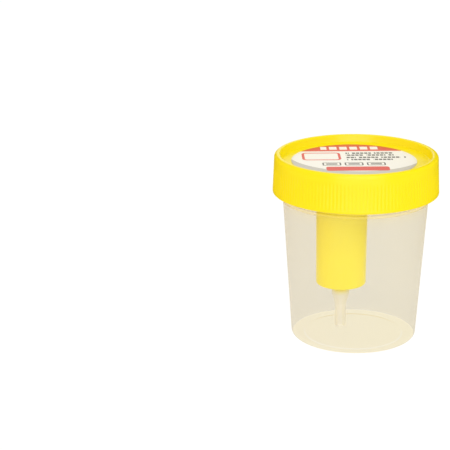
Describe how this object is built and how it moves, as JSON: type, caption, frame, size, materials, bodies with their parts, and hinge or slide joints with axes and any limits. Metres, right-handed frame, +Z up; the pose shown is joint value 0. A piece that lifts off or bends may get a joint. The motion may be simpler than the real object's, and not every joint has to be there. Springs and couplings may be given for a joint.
{
  "type": "specimen container",
  "caption": "Translucent specimen cup with a ribbed yellow screw cap that carries an off-centre tube well, a sleeved needle, a suction tube and a round peel-off label.",
  "frame": {"origin": "centre of the cup's base, on the plane that the foot ring stands on", "axes": "+Z up the container's axis to the cap; the tube well lies on the -Y side"},
  "size_m": [0.065, 0.065, 0.0741],
  "materials": {
    "cup_plastic": "translucent natural polypropylene, satin",
    "cap_plastic": "bright yellow polypropylene, semi-gloss",
    "needle_steel": "drawn stainless steel",
    "sleeve_rubber": "grey rubber, matte",
    "tube_plastic": "translucent polyethylene",
    "label_film": "coated white label with plain printed fields"
  },
  "bodies": {
    "cup_body": {"cup": "cup_plastic"},
    "cap_body": {"screw_cap": "cap_plastic", "needle": "needle_steel", "needle_sleeve": "sleeve_rubber", "suction_tube": "tube_plastic", "peel_label": "label_film"}
  },
  "joints": [
    {"name": "cap_lift", "type": "slide", "parent": "cup_body", "child": "cap_body", "axis": [0, 0, 1], "range_m": [0, 0.068]}
  ]
}
